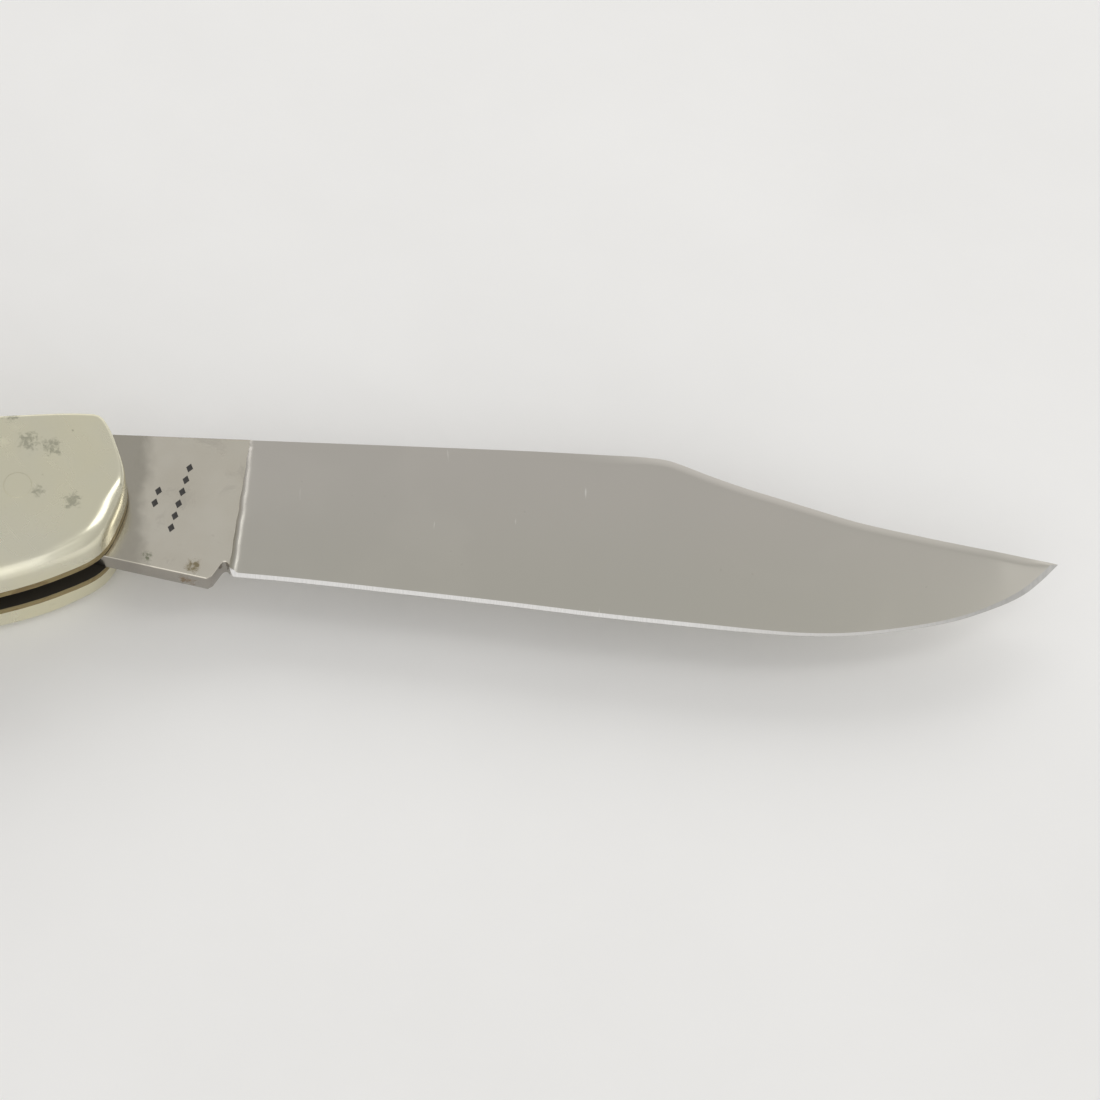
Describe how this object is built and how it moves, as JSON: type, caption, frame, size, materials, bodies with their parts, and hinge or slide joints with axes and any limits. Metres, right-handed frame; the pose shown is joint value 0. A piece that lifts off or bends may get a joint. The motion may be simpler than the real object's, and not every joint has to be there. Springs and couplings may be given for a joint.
{
  "type": "folding whittling knife",
  "caption": "Large folding slip-joint knife, clip-point blade open, with bolsters, brass liners, bone scales and a back spring.",
  "frame": {"origin": "where the blade pivot's axis meets the plane that the knife lies on, on the lower front bolster's face", "axes": "+X along the spine of the open blade to the tip, +Y towards the spine and the handle's back, +Z through the thickness, up"},
  "size_m": [0.2433, 0.0355, 0.0146],
  "materials": {
    "blade_steel": "satin ground, with light wear and a few rust specks",
    "spring_steel": "satin",
    "liner_brass": "tarnished",
    "nickel_silver": "polished, slightly tarnished and scratched",
    "nickel_silver_pins": "polished flush",
    "nickel_silver_shield": "polished, blank",
    "rivet_steel": "plain",
    "bone": "jigged brown bone, semi-gloss"
  },
  "bodies": {
    "handle": {"back_spring": "spring_steel", "upper_liner": "liner_brass", "lower_liner": "liner_brass", "upper_front_bolster": "nickel_silver", "lower_front_bolster": "nickel_silver", "upper_rear_bolster": "nickel_silver", "lower_rear_bolster": "nickel_silver", "upper_scale": "bone", "lower_scale": "bone", "pivot_pin": "nickel_silver_pins", "centre_pin": "nickel_silver_pins", "rear_pin": "nickel_silver_pins", "upper_scale_pins": "nickel_silver_pins", "lower_scale_pins": "nickel_silver_pins", "upper_front_bolster_rivets": "rivet_steel", "lower_front_bolster_rivets": "rivet_steel", "upper_rear_bolster_rivet": "rivet_steel", "lower_rear_bolster_rivet": "rivet_steel", "shield": "nickel_silver_shield", "shield_studs": "nickel_silver_pins"},
    "blade": {"blade": "blade_steel"},
    "spring_arm": {"spring_arm": "spring_steel"}
  },
  "joints": [
    {"name": "blade_pivot", "type": "hinge", "parent": "handle", "child": "blade", "pos_m": [0, 0, 0.0073], "axis": [0, 0, -1], "range_deg": [0, 169]},
    {"name": "spring_flex", "type": "hinge", "parent": "handle", "child": "spring_arm", "pos_m": [-0.05472, 0.00255, 0.0073], "axis": [0, 0, 1], "range_deg": [0, 0.8], "stiffness_Nm_per_rad": 10}
  ]
}
